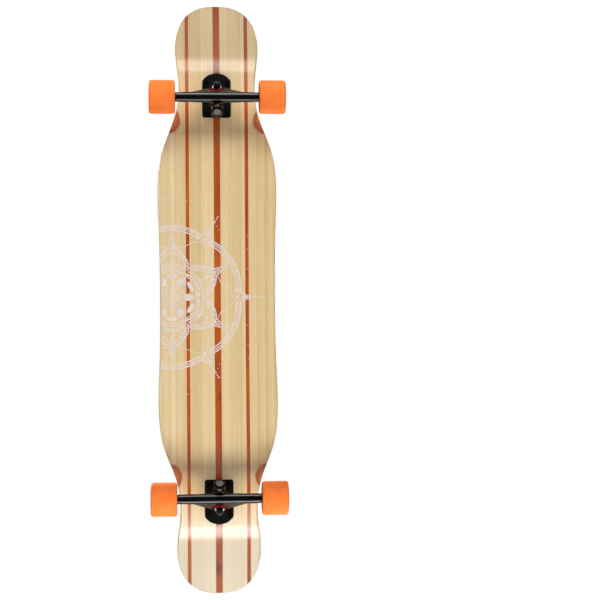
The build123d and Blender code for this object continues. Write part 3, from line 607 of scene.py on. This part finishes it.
def ring_radius(angle, add):
    """The scalloped ring: lowest at the nodes and highest midway between them."""
    swell = sin(radians(angle % NODE_STEP * 180.0 / NODE_STEP))
    return RING_RADIUS + RING_SWELL * swell ** 0.8 + add


def draw_node(drawing, node):
    """One of the six nodes, with what stands outside it, and the ring up to the next one."""
    # A dot in a diamond, in a kite that points outward.
    drawing.blob(at(RING_RADIUS, node), 3.4, 3.4, node)
    diamond = [at(RING_RADIUS + 9.0, node), at(RING_RADIUS + 0.3, node + 3.9),
               at(RING_RADIUS - 9.0, node), at(RING_RADIUS + 0.3, node - 3.9)]
    drawing.ribbon(diamond, 1.5, closed=True)
    drawing.blob(at(145.0, node), 5.5, 2.6, node, 16, 0.3)
    for side in (-1, 1):
        foot = at(126.0, node + side * 7.0)
        tip = at(158.0, node)
        waist = foot.lerp(tip, 0.5).lerp(at(142.0, node), 0.12)
        drawing.ribbon([foot, waist, tip], 2.0)
        # A single line runs inward from the node's foot.
        line = [at(124.0 - 23.0 * share, node + side * (2.5 + 14.5 * share ** 0.8))
                for share in [index / 8 for index in range(9)]]
        drawing.ribbon(line, 1.2)
        drawing.arc(101.0, node + side * 17.0, node + side * 24.0, 1.2, 6)
    for radius, size in ((161.0, 1.1), (164.8, 1.9), (169.0, 1.2), (173.0, 1.8), (178.5, 1.4),
                         (183.5, 1.6)):
        drawing.blob(at(radius, node), size, size, node, 10)
    for angle, radius in ((-5.2, 163.0), (5.2, 163.0), (-2.6, 167.5), (2.6, 167.5)):
        drawing.blob(at(radius, node + angle), 0.9, 0.9, 0, 8)
    # The ring's three lines and its beads.
    for add, width in ((-4.6, 2.3), (0.0, 1.8), (4.6, 2.5)):
        drawing.arc(lambda a: ring_radius(a, add), node + 4.6, node + 55.4, width, 40)
    for index in range(30):
        angle = node + 6.5 + index * 47.0 / 29
        drawing.blob(at(ring_radius(angle, 2.2), angle), 0.75, 0.75, 0, 6)
    # Faint dotted circles outside the ring.
    for radius, count, size in ((194.0, 15, 1.0), (178.0, 10, 0.9), (160.0, 12, 0.9)):
        for index in range(count):
            angle = node + 9.0 + index * 42.0 / (count - 1)
            drawing.blob(at(radius, angle), size, size, 0, 6)


def draw_petal(drawing, middle):
    """A pointed petal with a double outline, a smaller one inside, and the beads at its foot."""
    for side in (-1, 1):
        drawing.ribbon(petal_side(PETAL, middle, side, 61.0, 127.0), 2.2)
        drawing.ribbon(petal_side(PETAL, middle, side, 66.0, 119.0, 6.0), 1.6)
        drawing.ribbon(petal_side(INNER_PETAL, middle, side, 61.0, 100.0), 1.8)
        drawing.ribbon(petal_side(INNER_PETAL, middle, side, 64.0, 92.0, 4.0), 1.0)
        # Small lobes along the outline, like stitches.
        for index in range(9):
            radius = 68.0 + index * 5.0
            angle = petal_angle(PETAL, radius, 3.0)
            drawing.blob(at(radius, middle + side * angle), 1.9, 1.3, middle, 8)
    drawing.blob(at(82.0, middle), 4.6, 2.3, middle, 16, 0.5)
    drawing.blob(at(74.0, middle), 2.1, 2.1, middle, 12)
    drawing.blob(at(106.0, middle), 3.4, 1.2, middle, 12, 0.4)
    # Beads, growing towards the petal's middle, over parallel lines.
    for index in range(-6, 7):
        size = 2.5 - 0.24 * abs(index)
        angle = middle + index * 4.2
        drawing.blob(at(66.5 - 0.10 * index * index, angle), size, size, angle, 12)
    for radius, width in ((62.0, 1.8), (57.0, 2.4), (52.0, 1.8)):
        drawing.arc(lambda a: radius - 2.2 * ((a - middle) / 28.0) ** 2,
                    middle - 28.0, middle + 28.0, width, 22)
    for side in (-1, 1):
        drawing.blob(at(53.5, middle + side * 26.0), 1.3, 6.0, middle + side * 26.0, 14)


def draw_middle(drawing, angle):
    """A sixth of what is round the middle: a big blob towards a node, and a drop beside it."""
    if angle % 180:
        drawing.blob(at(34.0, angle), 7.0, 8.2, angle, 24, 0.12)
        drawing.arc(lambda a: 45.5 - 0.030 * (a - angle) ** 2, angle - 18, angle + 18, 1.3)
    else:
        drawing.blob(at(33.0, angle), 8.0, 7.2, angle, 24, 0.55)
        drawing.arc(48.0, angle - 14.0, angle + 14.0, 1.2)
    drawing.blob(at(42.5, angle + HALF_STEP), 3.9, 11.0, angle + HALF_STEP, 22, 0.3)
    drawing.blob(at(22.5, angle + HALF_STEP), 2.2, 1.6, angle + HALF_STEP, 12, 0.8)
    for index in range(3):
        drawing.blob(at(30.0, angle + 21.0 + 9.0 * index), 1.0, 1.0, 0, 8)
    loop = [at(15.0, angle) + Vector((cos(a), sin(a))) * 6.4 * MM
            for a in [2 * pi * index / 20 for index in range(20)]]
    drawing.ribbon(loop, 1.7, closed=True)
    drawing.blob(at(15.0, angle), 2.3, 2.3, 0, 12)


def mandala():
    drawing = Print()
    for node in range(0, 360, NODE_STEP):
        draw_node(drawing, node)
    for node in range(0, 360, NODE_STEP):
        draw_petal(drawing, node + HALF_STEP)
    for node in range(0, 360, NODE_STEP):
        draw_middle(drawing, node)
    drawing.ribbon([at(4.8, 18.0 * index) for index in range(20)], 1.4, closed=True)
    drawing.blob(at(0.0, 0.0), 2.0, 2.0, 0, 12)
    drawing.ribbon([at(26.0, 7.5 * index) for index in range(48)], 1.1, closed=True)
    return drawing


deck_corners = []
deck_faces = []
for name in ("deck_bottom_ply", "deck_bottom_stringers"):
    mesh = frame["nodes"][name].data
    first = len(deck_corners)
    deck_corners.extend(vertex.co.copy() for vertex in mesh.vertices)
    deck_faces.extend([first + index for index in face.vertices] for face in mesh.polygons)
deck_surface = BVHTree.FromPolygons(deck_corners, deck_faces)
deck_print = mandala().mesh("deck_print", deck_surface)
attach(deck_print, "board")


# ---- Floor, light and camera ----------------------------------------------------------------
def floor():
    """A pale floor that shows from above only, so that the board can be seen from below."""
    half = FLOOR_SIZE / 2
    data = bpy.data.meshes.new("floor")
    data.from_pydata([(-half, -half, 0), (half, -half, 0), (half, half, 0), (-half, half, 0)],
                     [], [(0, 1, 2, 3)])
    piece = bpy.data.objects.new("floor", data)
    bpy.context.scene.collection.objects.link(piece)
    look = Look("pale_floor")
    clouds = look.noise(look.place, 3.0, 4.0)
    distance = look.length(look.x, look.y)
    glow = look.step(distance, FLOOR_NEAR, FLOOR_FAR, FLOOR_GLOW_NEAR, FLOOR_GLOW_FAR)
    look.set(Base_Color=look.ramp(clouds, (0.3, srgb(160, 160, 160)), (0.7, srgb(166, 166, 166))),
             Roughness=0.85, Specular_IOR_Level=0.1, Emission_Color=WHITE, Emission_Strength=glow)
    see_through = look.tree.nodes.new("ShaderNodeBsdfTransparent")
    facing = look.tree.nodes.new("ShaderNodeNewGeometry")
    join = look.tree.nodes.new("ShaderNodeMixShader")
    output = look.tree.nodes["Material Output"]
    look.tree.links.new(facing.outputs["Backfacing"], join.inputs[0])
    look.tree.links.new(look.shader.outputs[0], join.inputs[1])
    look.tree.links.new(see_through.outputs[0], join.inputs[2])
    look.tree.links.new(join.outputs[0], output.inputs["Surface"])
    data.materials.append(look.material)
    piece.visible_shadow = False
    piece.visible_diffuse = False
    piece.visible_glossy = False


def area_light(name, place, target, width, height, watts):
    data = bpy.data.lights.new(name, "AREA")
    data.shape = "RECTANGLE"
    data.size = width
    data.size_y = height
    data.energy = watts
    lamp = bpy.data.objects.new(name, data)
    bpy.context.scene.collection.objects.link(lamp)
    lamp.location = place
    direction = Vector(target) - Vector(place)
    lamp.rotation_euler = direction.to_track_quat("-Z", "Y").to_euler()
    lamp.visible_camera = False
    return lamp


def shine_on(lamp, pieces):
    """Lets a light fall on these pieces alone."""
    group = bpy.data.collections.new(lamp.name + "_on")
    for piece in pieces:
        group.objects.link(piece)
    lamp.light_linking.receiver_collection = group


floor()

world = bpy.data.worlds.new("studio")
bpy.context.scene.world = world
world.use_nodes = True
background = world.node_tree.nodes["Background"]
rays = world.node_tree.nodes.new("ShaderNodeLightPath")
level = WORLD_LIGHT
for ray, light in (("Is Glossy Ray", WORLD_MIRRORED), ("Is Camera Ray", 1.0)):
    choice = world.node_tree.nodes.new("ShaderNodeMix")
    choice.data_type = "FLOAT"
    world.node_tree.links.new(rays.outputs[ray], choice.inputs[0])
    if isinstance(level, bpy.types.NodeSocket):
        world.node_tree.links.new(level, choice.inputs[2])
    else:
        choice.inputs[2].default_value = level
    choice.inputs[3].default_value = light
    level = choice.outputs[0]
world.node_tree.links.new(level, background.inputs["Strength"])
tint = world.node_tree.nodes.new("ShaderNodeMix")
tint.data_type = "RGBA"
world.node_tree.links.new(rays.outputs["Is Camera Ray"], tint.inputs[0])
tint.inputs[6].default_value = WORLD_TINT
tint.inputs[7].default_value = WHITE
world.node_tree.links.new(tint.outputs[2], background.inputs["Color"])

deck_pieces = [frame["nodes"][name] for name in frame["nodes"] if name.startswith("deck_")]
other_pieces = [frame["nodes"][name] for name in frame["nodes"] if not name.startswith("deck_")]
metal_pieces = [frame["nodes"][subpart["node"]] for subpart in frame["record"]["subparts"]
                if subpart["material_slot"] in ("truck_black", "black_steel", "steel")]
# Below, beyond each end and out of view, five lights. Three of the tail's are stronger.
for end, sign, key_watts, band_x, band_watts, sheen_watts in (
    ("nose", 1, 4.4, 0.92, 20.0, 2.0),
    ("tail", -1, 5.6, 0.80, 42.0, 2.5),
):
    # A soft light on everything, which nothing mirrors.
    key = area_light(end + "_key", place=(sign * 1.22, 0.0, -0.90), target=(0.0, 0.0, 0.1),
                     width=1.5, height=0.30, watts=key_watts)
    key.data.spread = radians(90.0)
    key.visible_glossy = False
    # A low one that lifts the trucks and wheels, and leaves the deck's wood alone.
    low = area_light(end + "_low", place=(sign * 1.95, 0.0, -0.32), target=(sign * 0.39, 0.0, 0.04),
                     width=1.6, height=0.26, watts=15.0)
    low.visible_glossy = False
    shine_on(low, other_pieces)
    # One that only the metal parts mirror.
    glint = area_light(end + "_glint", place=(sign * 1.60, 0.0, -0.38),
                       target=(sign * 0.39, 0.0, -0.1), width=1.8, height=0.7, watts=46.0)
    glint.visible_diffuse = False
    shine_on(glint, metal_pieces)
    # Two that only the deck mirrors: a pale band on the kick's bend, and a broad weak sheen.
    band = area_light(end + "_band", place=(sign * band_x, 0.0, -1.50),
                      target=(sign * 0.45, 0.0, 0.1), width=1.8, height=0.34, watts=band_watts)
    sheen = area_light(end + "_sheen", place=(sign * 1.30, 0.0, -1.45),
                       target=(sign * 0.52, 0.0, 0.1), width=1.8, height=0.70, watts=sheen_watts)
    for lamp in (band, sheen):
        lamp.visible_diffuse = False
        shine_on(lamp, deck_pieces + [deck_print])
# Above: a broad key light and a weak fill.
area_light("top_key", place=(1.2, -1.6, 2.4), target=(0.0, 0.0, 0.1), width=1.6, height=1.6,
           watts=96.0)
area_light("top_fill", place=(-1.8, 1.4, 1.6), target=(0.0, 0.0, 0.1), width=2.0, height=1.4,
           watts=30.0)

camera_data = bpy.data.cameras.new("camera")
camera_data.sensor_width = SENSOR
camera_data.lens = LENS
camera_data.clip_start = 0.05
camera_data.clip_end = 60.0
camera = bpy.data.objects.new("camera", camera_data)
bpy.context.scene.collection.objects.link(camera)
forward = Vector((sin(CAMERA_TILT), sin(CAMERA_TURN) * cos(CAMERA_TILT),
                  cos(CAMERA_TURN) * cos(CAMERA_TILT)))
right = forward.cross(Vector((1.0, 0.0, 0.0))).normalized()
up = right.cross(forward)
rolled_right = right * cos(CAMERA_ROLL) + up * sin(CAMERA_ROLL)
rolled_up = up * cos(CAMERA_ROLL) - right * sin(CAMERA_ROLL)
turn = Matrix((rolled_right, rolled_up, -forward)).transposed()
camera.matrix_world = Matrix.Translation(Vector(CAMERA_PLACE)) @ turn.to_4x4()
bpy.context.scene.camera = camera

bpy.context.scene.view_settings.view_transform = "Standard"
bpy.context.scene.view_settings.look = "None"
